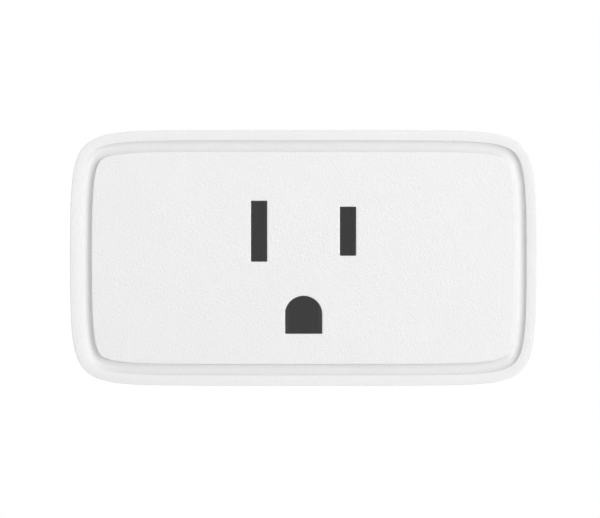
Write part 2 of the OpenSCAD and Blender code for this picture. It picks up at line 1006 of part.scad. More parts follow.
front_cover();
rear_cover();
housing_screws();
side_button();
led_light_pipe();
rating_label();
socket_carrier();
carrier_cap();
neutral_contact();
line_contact();
ground_contact();
neutral_blade();
line_blade();
ground_pin();
blade_retainer();
neutral_strap();
line_in_strap();
line_out_strap();
ground_strap();
main_board();
board_screws();
relay_base();
relay_cover();
relay_bobbin();
relay_winding();
relay_core();
relay_yoke();
relay_armature();
relay_contact_spring();
relay_moving_contact();
relay_fixed_terminal();
relay_fixed_contact();
relay_return_spring();
relay_coil_pins();
fuse_resistor();
varistor();
film_capacitor();
bridge_rectifier();
electrolytic_capacitors();
choke_core();
choke_winding();
power_chip();
regulator_chip();
chip_components();
component_leads();
wifi_board();
wifi_chip();
wifi_shield();
antenna_trace();
header_pins();
tact_switch_body();
switch_dome();
tact_switch_plunger();
tact_switch_cover();
status_led();
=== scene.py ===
import json
import bmesh
import bpy
import numpy as np
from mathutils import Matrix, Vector, geometry


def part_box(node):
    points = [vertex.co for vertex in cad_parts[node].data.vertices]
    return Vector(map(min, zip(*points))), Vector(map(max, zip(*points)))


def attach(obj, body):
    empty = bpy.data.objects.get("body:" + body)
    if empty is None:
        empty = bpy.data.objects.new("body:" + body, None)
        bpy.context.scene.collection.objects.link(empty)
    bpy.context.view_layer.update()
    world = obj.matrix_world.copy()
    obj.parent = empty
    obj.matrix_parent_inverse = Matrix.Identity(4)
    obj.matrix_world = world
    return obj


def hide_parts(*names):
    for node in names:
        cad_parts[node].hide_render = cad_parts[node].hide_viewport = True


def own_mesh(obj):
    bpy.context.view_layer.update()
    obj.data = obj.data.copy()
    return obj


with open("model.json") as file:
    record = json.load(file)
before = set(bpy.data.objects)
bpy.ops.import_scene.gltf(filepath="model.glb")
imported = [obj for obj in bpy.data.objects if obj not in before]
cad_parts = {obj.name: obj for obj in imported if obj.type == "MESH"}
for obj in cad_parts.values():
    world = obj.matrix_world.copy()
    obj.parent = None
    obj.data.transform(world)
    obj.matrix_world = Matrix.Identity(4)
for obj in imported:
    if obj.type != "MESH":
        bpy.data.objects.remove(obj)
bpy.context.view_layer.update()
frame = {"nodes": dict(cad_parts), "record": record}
nodes = frame["nodes"]
mm = 0.001


# Places taken from the frame, in millimetres
def boxOf(node):
    low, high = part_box(node)
    return np.array(low) / mm, np.array(high) / mm


coverLow, coverHigh = boxOf("front_cover")
screwHigh = boxOf("housing_screws")[1]
pinLow, pinHigh = boxOf("ground_pin")
bladeLow, bladeHigh = boxOf("line_blade")
buttonLow, buttonHigh = boxOf("side_button")
lampLow, lampHigh = boxOf("led_light_pipe")
labelLow, labelHigh = boxOf("rating_label")
domeLow, domeHigh = boxOf("switch_dome")
retainerHigh = boxOf("blade_retainer")[1]

housing = {
    "softness": 3.14,  # size of the corners' curve
    "softenPerInset": 0.35,  # how much tighter the walls' curve gets for each millimetre inwards
    "rimWidth": 1.48,
    "wall": 2.0,
    "screwHead": 2.0,  # radius of the screws' heads
    "joinZ": 10.5,  # where the sides' even columns end and the corners begin
    "joinX": 25.0,
    "sideSteps": 28,
    "cornerSteps": 26,
    "topSteps": 20,
}
bladeX = (bladeLow[0] + bladeHigh[0]) / 2
bladeZ = (bladeLow[2] + bladeHigh[2]) / 2
groundZ = (pinLow[2] + pinHigh[2]) / 2
frontY = coverLow[1]
seamY = coverHigh[1]
innerFrontY = frontY + housing["wall"]
innerRearY = retainerHigh[1]
switchY = (buttonLow[1] + buttonHigh[1]) / 2
lampZ = (lampLow[2] + lampHigh[2]) / 2
labelX = (labelLow[0] + labelHigh[0]) / 2
screwX = screwHigh[0] - housing["screwHead"]
screwZ = screwHigh[2] - housing["screwHead"]
screwPlaces = [(x, z) for x in (-screwX, screwX) for z in (-screwZ, screwZ)]


# The outline's half sizes and softness at an inset
def outlineSizes(inset):
    softness = housing["softness"] - housing["softenPerInset"] * inset
    return coverHigh[0] - inset, coverHigh[2] - inset, softness


# The side of the outline exp((|x| - a) / s) + exp((|z| - b) / s) = 1, as x for a given z
def sideX(z, inset):
    a, b, s = outlineSizes(inset)
    return a + s * np.log1p(-np.exp((np.abs(z) - b) / s))


# The whole outline as a closed ring: even steps along the flat sides, and even turns of
# the normal round the corners, so that every inset has the same columns
def outlineRing(inset):
    a, b, s = outlineSizes(inset)
    zSide = np.linspace(0, housing["joinZ"], housing["sideSteps"] + 1)
    xTop = np.linspace(housing["joinX"], 0, housing["topSteps"] + 1)
    firstShare = np.exp((housing["joinZ"] - b) / s)
    lastShare = np.exp((housing["joinX"] - a) / s)
    firstTurn = np.arctan2(firstShare, 1 - firstShare)
    lastTurn = np.arctan2(1 - lastShare, lastShare)
    turn = np.linspace(firstTurn, lastTurn, housing["cornerSteps"] + 2)[1:-1]
    share = np.cos(turn) / (np.cos(turn) + np.sin(turn))
    topZ = b + s * np.log1p(-np.exp((xTop - a) / s))
    x = np.concatenate([sideX(zSide, inset), a + s * np.log(share), xTop])
    z = np.concatenate([zSide, b + s * np.log1p(-share), topZ])
    quarter = np.stack([x, z], 1)
    back = quarter[::-1]
    return np.concatenate([
        quarter[:-1],
        (back * (-1, 1))[:-1],
        (quarter * (-1, -1))[:-1],
        (back * (1, -1))[:-1],
    ])


# The outline moved inwards along its normals, so that its sides keep their slow curve and its
# corners tighten; the normal is the gradient of the outline's formula
def parallelRing(inset):
    ring = outlineRing(0.0)
    a, b, s = outlineSizes(0.0)
    normal = np.exp((np.abs(ring) - (a, b)) / s) * np.sign(ring)
    return ring - inset * normal / np.linalg.norm(normal, axis=1, keepdims=True)


# Collects the vertices and faces of one piece; what is added comes back as vertex numbers
class Surface:
    def __init__(self):
        self.points = []
        self.faces = []
        self.count = 0

    def addPoints(self, points):
        points = np.asarray(points, float).reshape(-1, 3)
        self.points.append(points)
        numbers = np.arange(self.count, self.count + len(points))
        self.count += len(points)
        return numbers

    # Quads between the rows of a grid of vertex numbers; keep leaves out the quads it marks False
    def addQuads(self, grid, keep=None):
        right = np.roll(grid, -1, axis=1)
        quads = np.stack([grid[:-1], right[:-1], right[1:], grid[1:]], 2)
        quads = quads.reshape(-1, 4) if keep is None else quads[keep]
        self.faces.extend(quads.tolist())

    # Closed rings of points, rows by columns by three
    def addRings(self, points, keep=None):
        rows, columns = points.shape[:2]
        grid = self.addPoints(points).reshape(rows, columns)
        self.addQuads(grid, keep)
        return grid

    # A flat region inside one outer loop and outside any others, given as vertex numbers
    def addFlat(self, loops):
        every = np.concatenate(self.points)
        joined = np.concatenate(loops)
        corners = [[Vector(every[i]) for i in loop] for loop in loops]
        triangles = geometry.tessellate_polygon(corners)
        self.faces.extend([[int(joined[i]) for i in three] for three in triangles])


# Makes the mesh: doubles merged, normals outwards, smooth up to an angle in degrees
def addPiece(name, surface, sharpAngle=35):
    mesh = bpy.data.meshes.new(name)
    points = np.concatenate(surface.points) * mm
    mesh.from_pydata(points.tolist(), [], surface.faces)
    work = bmesh.new()
    work.from_mesh(mesh)
    bmesh.ops.remove_doubles(work, verts=work.verts, dist=1e-8)
    bmesh.ops.recalc_face_normals(work, faces=work.faces)
    work.to_mesh(mesh)
    work.free()
    mesh.shade_smooth()
    mesh.set_sharp_from_angle(angle=np.radians(sharpAngle))
    piece = bpy.data.objects.new(name, mesh)
    bpy.context.scene.collection.objects.link(piece)
    return piece


# Points of a flat loop in x and z, put at a depth y
def atDepth(loop, y):
    return np.stack([loop[:, 0], np.full(len(loop), y), loop[:, 1]], 1)


# Part of a circle in any plane, from one angle to another in degrees
def arc(centre, radius, fromAngle, toAngle, steps):
    turn = np.radians(np.linspace(fromAngle, toAngle, steps + 1))
    return np.stack([centre[0] + radius * np.cos(turn), centre[1] + radius * np.sin(turn)], 1)


# Rounded rectangle round a centre, grown by an offset
def boxLoop(centre, halfWidth, halfHeight, radius, offset=0.0, steps=6):
    corner = (halfWidth - radius, halfHeight - radius)
    quarter = arc(corner, radius + offset, 0, 90, steps)
    back = quarter[::-1]
    loop = np.concatenate([quarter, back * (-1, 1), quarter * (-1, -1), back * (1, -1)])
    return loop + centre


# Circle round a centre, grown by an offset
def roundLoop(centre, radius, offset=0.0, steps=48):
    return arc(centre, radius + offset, 0, 360, steps)[:-1]


# Half circle above a square foot with small corner rounds, grown by an offset
def archLoop(centre, radius, foot, cornerRadius, offset=0.0):
    top = arc((0, 0), radius + offset, 0, 180, 40)
    corner = (cornerRadius - radius, cornerRadius - foot)
    left = arc(corner, cornerRadius + offset, 180, 270, 6)
    return np.concatenate([top, left, left[::-1] * (-1, 1)]) + centre


# Pill standing along its second axis, grown by an offset
def pillLoop(centre, halfWidth, halfHeight, offset=0.0):
    cap = arc((0, halfHeight - halfWidth), halfWidth + offset, 0, 180, 24)
    return np.concatenate([cap, -cap]) + centre


# A way from one flat face to another: a flat margin, a rounded edge, then the straight wall.
# The rounded edge is a quarter circle from the face, an edge's width out, to the wall
def openingRows(loopAt, y0, y1, edge, margin):
    way = np.sign(y1 - y0)
    turn = np.linspace(0, np.pi / 2, 5)
    rows = [atDepth(loopAt(edge + margin), y0)]
    rows += [atDepth(loopAt(edge * (1 - np.sin(t))), y0 + way * edge * (1 - np.cos(t))) for t in turn]
    rows += [atDepth(loopAt(0), y) for y in np.linspace(y0 + way * edge, y1, 4)[1:]]
    return np.array(rows)


# Turns a profile of radius and depth round an axis along y
def turned(profile, centre, steps=64):
    profile = np.asarray(profile, float)
    turn = np.linspace(0, 2 * np.pi, steps, endpoint=False)
    x = centre[0] + profile[:, :1] * np.cos(turn)
    z = centre[1] + profile[:, :1] * np.sin(turn)
    return np.stack([x, np.broadcast_to(profile[:, 1:], x.shape), z], 2)


frontCover = {
    "grooveWidth": 1.6,
    "grooveDepth": 0.74,
    "frontRound": 0.07,
    "edgeRound": 0.045,
    "seamRound": 0.12,
    "insideRound": 0.5,
    "slotWidth": 2.3,
    "neutralHeight": 8.7,
    "lineHeight": 7.0,
    "slotCorner": 0.12,
    "archRadius": 2.67,
    "archFoot": 2.75,
    "archCorner": 0.15,
    "openingEdge": 0.1,
    "margin": 0.25,
    "bossRadius": 2.5,
    "bossBore": 1.28,
    "collar": (10.75, 10.35, -13.15),  # half width, top and foot of the carrier's frame
    "collarWall": 0.85,
    "collarCorner": 0.3,
    "collarReach": 2.5,
    "sink": 0.3,  # how far bosses and collar run into the face's wall
    "patchHalf": 3.5,  # half depth of the regridded patch round the button and the lamp
    "patchRows": 20,
    "buttonColumns": 16,
    "holeEdge": 0.22,
    "buttonHole": (2.2, 4.6),
    "lampHole": 1.25,
}


# Rows of inset and depth: the inner wall, the seam, the outer wall, the rounded front edge,
# the flat rim, the groove as one arc, and the edge of the face
def frontProfile():
    c = frontCover
    wall = housing["wall"]
    inside = c["insideRound"]
    seam = c["seamRound"]
    front = c["frontRound"]
    edge = c["edgeRound"]
    rim = housing["rimWidth"]
    patch = np.linspace(switchY - c["patchHalf"], switchY + c["patchHalf"], c["patchRows"])
    sag = c["grooveDepth"] - edge
    half = c["grooveWidth"] / 2
    grooveRadius = (half * half + sag * sag) / (2 * sag)
    rise = grooveRadius - sag
    paintedGlow = np.degrees(np.arctan2(rise, half))
    middle = (rim + half, frontY + edge - rise)
    faceAt = rim + c["grooveWidth"] + edge

    def straight(inset, y0, y1, steps):
        y = np.linspace(y0, y1, steps + 1)[1:-1]
        return np.stack([np.full(len(y), inset), y], 1)

    parts = [
        [(wall + inside + c["margin"], innerFrontY)],
        arc((wall + inside, innerFrontY + inside), inside, 270, 180, 5),
        straight(wall, innerFrontY + inside, patch[0], 5),
        np.stack([np.full(len(patch), wall), patch], 1),
        straight(wall, patch[-1], seamY, 4),
        [(wall, seamY)],
        arc((seam, seamY - seam), seam, 90, 180, 4),
        straight(0, seamY - seam, patch[-1], 4),
        np.stack([np.zeros(len(patch)), patch[::-1]], 1),
        straight(0, patch[0], frontY + front, 6),
        arc((front, frontY + front), front, 180, 270, 9),
        arc((rim - edge, frontY + edge), edge, 270, 360, 3),
        arc(middle, grooveRadius, 180 - paintedGlow, paintedGlow, 26)[1:-1],
        arc((faceAt, frontY + edge), edge, 180, 270, 3),
        [(faceAt + c["margin"], frontY)],
    ]
    starts = np.cumsum([0] + [len(part) for part in parts])
    innerPatch, outerPatch = 3, 8  # the patches' places among the parts
    return np.concatenate(parts), starts[innerPatch], starts[outerPatch]


# Regrids a rectangle of the left side round a hole. Rings run from the rectangle's edge
# to the hole's, by straight lines to the nearest point of a pill round (y, z); at the hole
# an outside edge is rounded over by a quarter circle
def regridHole(surface, grid, rows, columns, hole, inset, edge):
    y0, z0, radius, halfStraight = hole
    (r0, r1), (c0, c1) = rows, columns
    border = np.concatenate([
        grid[r0, c0:c1],
        grid[r0:r1, c1],
        grid[r1, c1:c0:-1],
        grid[r1:r0:-1, c0],
    ])
    flat = np.concatenate(surface.points)[border][:, 1:]
    core = np.stack([np.full(len(flat), y0), np.clip(flat[:, 1], z0 - halfStraight, z0 + halfStraight)], 1)
    away = flat - core
    away /= np.linalg.norm(away, axis=1, keepdims=True)

    def ring(points, depth):
        x = -(sideX(points[:, 1], inset) - depth)
        return np.stack([x, points[:, 0], points[:, 1]], 1)

    near = core + away * (radius + edge)
    share = np.linspace(0, 1, 7)[1:] ** 0.8
    rings = [ring(flat + (near - flat) * t, 0) for t in share]
    if edge > 0:
        turn = np.linspace(0, np.pi / 2, 6)[1:]
        rings += [ring(core + away * (radius + edge * (1 - np.sin(t))), edge * (1 - np.cos(t))) for t in turn]
    inner = surface.addPoints(np.array(rings)).reshape(len(rings), -1)
    surface.addQuads(np.concatenate([border[None], inner]))
    return inner[-1]


# Loops of the three openings in the face, each as a function of its offset
def outletLoops():
    c = frontCover
    half = c["slotWidth"] / 2
    corner = c["slotCorner"]
    return [
        lambda e: boxLoop((-bladeX, bladeZ), half, c["neutralHeight"] / 2, corner, e),
        lambda e: boxLoop((bladeX, bladeZ), half, c["lineHeight"] / 2, corner, e),
        lambda e: archLoop((0, groundZ), c["archRadius"], c["archFoot"], c["archCorner"], e),
    ]


# The rows of a patch, counted from the far end of the profile
def mirrorRows(total, start, last):
    return total - 1 - start - last, total - 1 - start


# Four tubes that take the screws
def addBosses(surface):
    c = frontCover
    low = innerFrontY - c["sink"]
    tube = [(c["bossBore"], low), (c["bossRadius"], low), (c["bossRadius"], seamY), (c["bossBore"], seamY)]
    for place in screwPlaces:
        surface.addRings(turned(tube + tube[:1], place, 40))


# A low frame behind the face that the carrier sits in
def addCollar(surface):
    c = frontCover
    low = innerFrontY - c["sink"]
    half, top, foot = c["collar"]
    centre = (0, (top + foot) / 2)
    high = (top - foot) / 2
    inward = boxLoop(centre, half, high, c["collarCorner"])
    outward = boxLoop(centre, half, high, c["collarCorner"], c["collarWall"])
    tip = innerFrontY + c["collarReach"]
    frameRows = [(outward, low), (outward, tip), (inward, tip), (inward, low), (outward, low)]
    surface.addRings(np.array([atDepth(loop, y) for loop, y in frameRows]))


# The shell with its three openings and two side holes, its bosses and its collar
def makeFrontCover():
    c = frontCover
    surface = Surface()
    profile, innerStart, outerStart = frontProfile()
    rings = [atDepth(outlineRing(inset), y) for inset, y in profile[:outerStart]]
    rings += [atDepth(parallelRing(inset), y) for inset, y in profile[outerStart:]]
    rings = np.array(rings)
    perQuarter = housing["sideSteps"] + housing["cornerSteps"] + housing["topSteps"] + 1
    left = 2 * perQuarter  # the column at the middle of the left side; z falls as columns rise
    buttonAt = (left - c["buttonColumns"], left + c["buttonColumns"])
    lampAt = (left - housing["sideSteps"], left - c["buttonColumns"])
    last = c["patchRows"] - 1
    keep = np.ones((len(rings) - 1, rings.shape[1]), bool)
    for start in (innerStart, outerStart):
        keep[start:start + last, lampAt[0]:buttonAt[1]] = False
    grid = surface.addRings(rings, keep)
    buttonRadius, buttonHalf = c["buttonHole"]
    holes = [
        (buttonAt, (switchY, 0, buttonRadius, buttonHalf - buttonRadius)),
        (lampAt, (switchY, lampZ, c["lampHole"], 0)),
    ]
    for columns, hole in holes:
        outer = regridHole(surface, grid[::-1], mirrorRows(len(rings), outerStart, last), columns,
                           hole, 0, c["holeEdge"])
        inner = regridHole(surface, grid, (innerStart, innerStart + last), columns,
                           hole, housing["wall"], 0)
        surface.addQuads(np.stack([outer, inner]))
    ways = [openingRows(loop, frontY, innerFrontY, c["openingEdge"], c["margin"])
            for loop in outletLoops()]
    ways = [surface.addRings(rows) for rows in ways]
    surface.addFlat([grid[-1]] + [way[0] for way in ways])
    surface.addFlat([grid[0]] + [way[-1] for way in ways])
    addBosses(surface)
    addCollar(surface)
    print("front cover:", surface.count, "points")
    return addPiece("frontCover", surface)


rearCover = {
    "rearRound": 0.9,
    "seamGap": 0.12,
    "seamRound": 0.12,
    "openingEdge": 0.12,
    "margin": 0.12,
    "bladeSlot": (0.81, 3.225, 0.1),  # half width, half height and corner
    "pinHole": 2.85,
    "counterbore": 2.2,
    "screwBore": 1.45,
    "pillarRadius": 3.2,
    "pocket": (6.35, 9.1, 1.3),  # half width, half height and corner
    "pocketDepth": 0.2,
    "pocketEdge": 0.06,
    "lipInsets": (1.5, 2.1, 3.1),
    "lipDepths": (-6.9, -4.8, -3.9),
    "bossClear": 2.8,
    "standoffs": ((-27.0, 0.0), (25.6, -8.6)),
    "standoffRadius": 2.2,
    "standoffBore": 0.93,
    "standoffTip": -4.5,
    "standoffFloor": 0.4,  # depth left under a standoff's bore
    "standoffSink": 0.2,  # how far standoffs and pillars run into the rear wall
    "pillarSink": 0.02,
}


# Rows of inset and depth from the inner plane round the seam and the side to the rear face
def rearProfile():
    c = rearCover
    joint = seamY + c["seamGap"]
    seam = c["seamRound"]
    rear = c["rearRound"]
    side = np.linspace(joint + seam, -rear, 5)[1:-1]
    return np.concatenate([
        [(housing["wall"], innerRearY), (housing["wall"], joint)],
        arc((seam, joint + seam), seam, 270, 180, 4),
        np.stack([np.zeros(len(side)), side], 1),
        arc((rear, -rear), rear, 180, 90, 9),
        [(rear + c["margin"], 0)],
    ])


# The lip that reaches into the front cover: a step-shaped section carried along the
# outline, in four lengths that leave the screw bosses clear
def addLip(surface):
    c = rearCover
    (outer, near, far), (tip, step, root) = c["lipInsets"], c["lipDepths"]
    section = [(near, tip), (near, step), (outer, step), (outer, root), (far, root), (far, tip)]
    rings = np.array([atDepth(outlineRing(inset), y) for inset, y in section])
    apart = np.hypot(np.abs(rings[0, :, 0]) - screwX, np.abs(rings[0, :, 2]) - screwZ)
    free = apart > c["bossClear"]
    turn = -int(np.argmin(free))
    free = np.roll(free, turn)
    rings = np.roll(rings, turn, axis=1)
    edges = np.flatnonzero(np.diff(free.astype(int)))
    for start, stop in zip(edges[::2] + 1, list(edges[1::2] + 1) + [len(free)] * (len(edges) % 2)):
        grid = surface.addRings(rings[:, start:stop].transpose(1, 0, 2))
        surface.faces.extend([grid[0].tolist(), grid[-1].tolist()])


# Pillars round the screws, and blind posts that the board stands on
def addSupports(surface):
    c = rearCover
    joint = seamY + c["seamGap"]
    shoulder = innerRearY + c["pillarSink"]
    tube = [(c["screwBore"], joint), (c["pillarRadius"], joint), (c["pillarRadius"], shoulder)]
    tube += [(c["screwBore"], shoulder), tube[0]]
    for place in screwPlaces:
        surface.addRings(turned(tube, place, 40))
    bore, rim, tip = c["standoffBore"], c["standoffRadius"], c["standoffTip"]
    root = innerRearY + c["standoffSink"]
    floor = innerRearY - c["standoffFloor"]
    post = [(0, floor), (bore, floor), (bore, tip), (rim, tip), (rim, root), (0, root)]
    for place in c["standoffs"]:
        surface.addRings(turned(post, place, 32))


# The tray with its seven openings and the label's pocket, its supports and its lip
def makeRearCover():
    c = rearCover
    surface = Surface()
    rings = np.array([atDepth(outlineRing(inset), y) for inset, y in rearProfile()])
    grid = surface.addRings(rings)
    bladeSlot = c["bladeSlot"]
    edge = c["openingEdge"]
    loops = [
        lambda e: boxLoop((-bladeX, bladeZ), *bladeSlot, e),
        lambda e: boxLoop((bladeX, bladeZ), *bladeSlot, e),
        lambda e: roundLoop((0, groundZ), c["pinHole"], e),
    ]
    loops += [lambda e, place=place: roundLoop(place, c["counterbore"], e) for place in screwPlaces]
    ways = [surface.addRings(openingRows(loop, 0, innerRearY, edge, c["margin"])) for loop in loops]
    pocketEdge = c["pocketEdge"]
    pocketRows = [(pocketEdge, 0), (0, -pocketEdge), (0, -c["pocketDepth"])]
    pocket = [atDepth(boxLoop((labelX, 0), *c["pocket"], e), y) for e, y in pocketRows]
    pocketGrid = surface.addRings(np.array(pocket))
    surface.addFlat([pocketGrid[-1]])
    surface.addFlat([grid[-1], pocketGrid[0]] + [way[0] for way in ways])
    surface.addFlat([grid[0]] + [way[-1] for way in ways])
    addSupports(surface)
    addLip(surface)
    print("rear cover:", surface.count, "points")
    return addPiece("rearCover", surface)


sideButton = {
    "halfWidth": 2.05,
    "halfHeight": 4.45,
    "edge": 0.4,
    "dish": 0.16,
    "thickness": 2.0,
    "flange": 0.9,
    "flangeThickness": 0.8,
    "stem": 1.5,
    "stemSink": 0.2,
}


# A pill whose face dishes smoothly in towards its middle line, with a rounded edge, straight
# sides, a wider flange behind and a round stem
def makeSideButton():
    c = sideButton
    faceX = buttonLow[0]
    backX = faceX + c["thickness"]
    flangeX = backX + c["flangeThickness"]
    half = c["halfWidth"]
    flatHalf = half - c["edge"]
    reach = np.linspace(0, 1, 9)
    face = np.stack([reach * flatHalf - half, faceX + c["dish"] * (1 - reach ** 2) ** 2], 1)
    edge = arc((-c["edge"], faceX + c["edge"]), c["edge"], 270, 360, 7)[1:]
    profile = np.concatenate([
        face,
        edge,
        [(0, backX), (c["flange"], backX), (c["flange"], flangeX), (-half, flangeX)],
    ])
    rows = []
    for offset, x in profile:
        loop = pillLoop((switchY, 0), half, c["halfHeight"], offset)
        rows.append(np.stack([np.full(len(loop), x), loop[:, 0], loop[:, 1]], 1))
    surface = Surface()
    surface.addRings(np.array(rows))
    root = flangeX - c["stemSink"]
    stem = [(0, root), (c["stem"], root), (c["stem"], buttonHigh[0]), (0, buttonHigh[0])]
    surface.addRings(alongX(turned(stem, (switchY, 0), 40)))
    return addPiece("sideButton", surface)


# Stands a shape turned round y up on the x axis instead
def alongX(points):
    return points[:, :, (1, 0, 2)]


lightPipe = {
    "radius": 1.2,
    "dome": 0.16,
    "flangeRadius": 1.8,
    "flangeFrom": 2.35,  # depths behind the dome's top
    "flangeTo": 3.25,
}


# A rod turned round x, with a shallow dome for its lens and a flange behind the wall
def makeLightPipe():
    c = lightPipe
    low = lampLow[0]
    turn = np.linspace(0, np.pi / 2, 10)
    dome = np.stack([c["radius"] * np.sin(turn), low + c["dome"] * (1 - np.cos(turn))], 1)
    profile = np.concatenate([
        dome,
        [(c["radius"], low + c["flangeFrom"]), (c["flangeRadius"], low + c["flangeFrom"]),
         (c["flangeRadius"], low + c["flangeTo"]), (c["radius"], low + c["flangeTo"]),
         (c["radius"], lampHigh[0]), (0, lampHigh[0])],
    ])
    surface = Surface()
    surface.addRings(alongX(turned(profile, (switchY, lampZ), 56)))
    return addPiece("lightPipe", surface)


groundPin = {
    "radius": 2.375,
    "nose": 2.2,
    "noseFlat": 0.45,
    "seat": 2.8,
    "seatEdge": 0.12,
    "collar": 3.4,
    "collarThickness": 1.0,
    "tail": 1.5,
    "drawMark": 0.012,  # depth of the shallow waves that turning leaves along the shank
    "drawRate": 2.1,
}


# A shank turned round y whose nose is a quarter of an ellipse from a small flat tip. Its waves
# are a cosine along the shank, faded out at both ends by half a sine
def makeGroundPin():
    c = groundPin
    tipY = pinHigh[1]
    noseY = tipY - c["nose"]
    turn = np.linspace(0, np.pi / 2, 15)
    noseRadius = c["noseFlat"] + (c["radius"] - c["noseFlat"]) * np.sin(turn)
    nose = np.stack([noseRadius, noseY + c["nose"] * np.cos(turn)], 1)
    shankY = np.linspace(noseY, c["seatEdge"], 40)[1:]
    wave = (0.5 - 0.5 * np.cos(shankY * c["drawRate"])) * np.sin(np.pi * shankY / noseY)
    shank = np.stack([c["radius"] - c["drawMark"] * wave, shankY], 1)
    collarY = innerRearY
    backY = collarY - c["collarThickness"]
    profile = np.concatenate([
        [(0, tipY)],
        nose,
        shank,
        [(c["radius"], 0), (c["seat"] - c["seatEdge"], 0), (c["seat"], -c["seatEdge"]),
         (c["seat"], collarY), (c["collar"], collarY), (c["collar"], backY), (c["tail"], backY),
         (c["tail"], pinLow[1]), (0, pinLow[1])],
    ])
    surface = Surface()
    surface.addRings(turned(profile, (0, groundZ), 96))
    return addPiece("groundPin", surface)


ratingLabel = {
    "corner": 1.2,
    "edge": 0.03,
}


# A thin plate with rounded corners and a slightly softened edge
def makeRatingLabel():
    c = ratingLabel
    half = ((labelHigh[0] - labelLow[0]) / 2, labelHigh[2])
    low, high = labelLow[1], labelHigh[1]
    surface = Surface()
    rows = [(0, low), (0, high - c["edge"]), (-c["edge"], high)]
    loops = [atDepth(boxLoop((labelX, 0), *half, c["corner"], e), y) for e, y in rows]
    grid = surface.addRings(np.array(loops))
    surface.addFlat([grid[0]])
    surface.addFlat([grid[-1]])
    return addPiece("ratingLabel", surface)


switchDome = {
    "sheet": 0.1,
    "pressedShare": 0.77,  # height that is left when the button is fully in
}


# The cap of a sphere through the rim and the crown, with a second cap one sheet below it
def makeSwitchDome():
    c = switchDome
    foot = domeHigh[0]
    edge = domeHigh[2]
    rise = foot - domeLow[0]
    ball = (edge * edge + rise * rise) / (2 * rise)
    inner = ball - c["sheet"]
    middle = domeLow[0] + ball
    outerTurn = np.linspace(0, np.arcsin(edge / ball), 12)
    innerTurn = np.linspace(np.arccos((middle - foot) / inner), 0, 12)
    outer = np.stack([ball * np.sin(outerTurn), middle - ball * np.cos(outerTurn)], 1)
    under = np.stack([inner * np.sin(innerTurn), middle - inner * np.cos(innerTurn)], 1)
    surface = Surface()
    surface.addRings(alongX(turned(np.concatenate([outer, under]), (switchY, 0), 48)))
    return addPiece("switchDome", surface)


# Edge softening in millimetres for the pieces that keep their exact shape
softenedNodes = {
    "neutral_blade": 0.09,
    "line_blade": 0.09,
    "housing_screws": 0.09,
    "socket_carrier": 0.08,
    "neutral_contact": 0.06,
    "line_contact": 0.06,
    "ground_contact": 0.06,
}


# A copy of a node with its flat faces joined up and its edges rounded over
def softened(node, width):
    piece = bpy.data.objects.new(node + "_soft", nodes[node].data.copy())
    bpy.context.scene.collection.objects.link(piece)
    work = bmesh.new()
    work.from_mesh(piece.data)
    bmesh.ops.remove_doubles(work, verts=work.verts, dist=1e-7)
    bmesh.ops.dissolve_limit(work, angle_limit=np.radians(0.5), verts=work.verts, edges=work.edges)
    bmesh.ops.recalc_face_normals(work, faces=work.faces)
    work.to_mesh(piece.data)
    work.free()
    piece.data.shade_smooth()
    bevel = piece.modifiers.new("edges", "BEVEL")
    bevel.width = width * mm
    bevel.segments = 3
    bevel.limit_method = "ANGLE"
    bevel.angle_limit = np.radians(30)
    bevel.harden_normals = True
    return piece


# Each piece with its body, its slot and the node that it stands for
made = [
    (makeFrontCover(), "housing", "white_housing", "front_cover"),
    (makeRearCover(), "housing", "white_housing", "rear_cover"),
    (makeSideButton(), "button", "white_button", "side_button"),
    (makeLightPipe(), "housing", "clear_light_pipe", "led_light_pipe"),
    (makeGroundPin(), "housing", "plated_blade", "ground_pin"),
    (makeRatingLabel(), "housing", "label_film", "rating_label"),
]
slotOf = {part["node"]: part["material_slot"] for part in frame["record"]["subparts"]}
dome = makeSwitchDome()
made.append((dome, "housing", slotOf["switch_dome"], "switch_dome"))
for node, width in softenedNodes.items():
    made.append((softened(node, width), "housing", slotOf[node], node))
for piece, body, slotName, node in made:
    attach(piece, body)
    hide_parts(node)
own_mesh(dome)
print("pieces made:", len(made))


# Short ways to build a node tree
class Graph:
    def __init__(self, tree):
        self.tree = tree

    # A node with its settings, its inputs by name or number
    def add(self, kind, inputs=None, **settings):
        node = self.tree.nodes.new(kind if kind.startswith("Node") else "ShaderNode" + kind)
        for key, value in settings.items():
            setattr(node, key, value)
        for key, value in (inputs or {}).items():
            if isinstance(value, bpy.types.NodeSocket):
                self.tree.links.new(value, node.inputs[key])
            else:
                node.inputs[key].default_value = value
        return node

    def math(self, operation, a, b=0.0, c=0.0):
        return self.add("Math", {0: a, 1: b, 2: c}, operation=operation).outputs[0]

    # Carries a value from one range to another, held at both ends
    def span(self, value, low, high, outLow, outHigh):
        inputs = {0: value, 1: low, 2: high, 3: outLow, 4: outHigh}
        return self.add("MapRange", inputs).outputs[0]

    def mix(self, factor, a, b):
        return self.add("Mix", {0: factor, 6: a, 7: b}, data_type="RGBA").outputs[2]

    def noise(self, vector, scale, detail=2.0, roughness=0.5):
        inputs = {"Vector": vector, "Scale": scale, "Detail": detail, "Roughness": roughness}
        return self.add("TexNoise", inputs).outputs[0]

    # The piece's own coordinates in millimetres, stretched by a vector
    def place(self, stretch=(1, 1, 1)):
        source = self.add("TexCoord").outputs["Object"]
        scale = [value / mm for value in stretch]
        return self.add("VectorMath", {0: source, 1: scale}, operation="MULTIPLY").outputs[0]


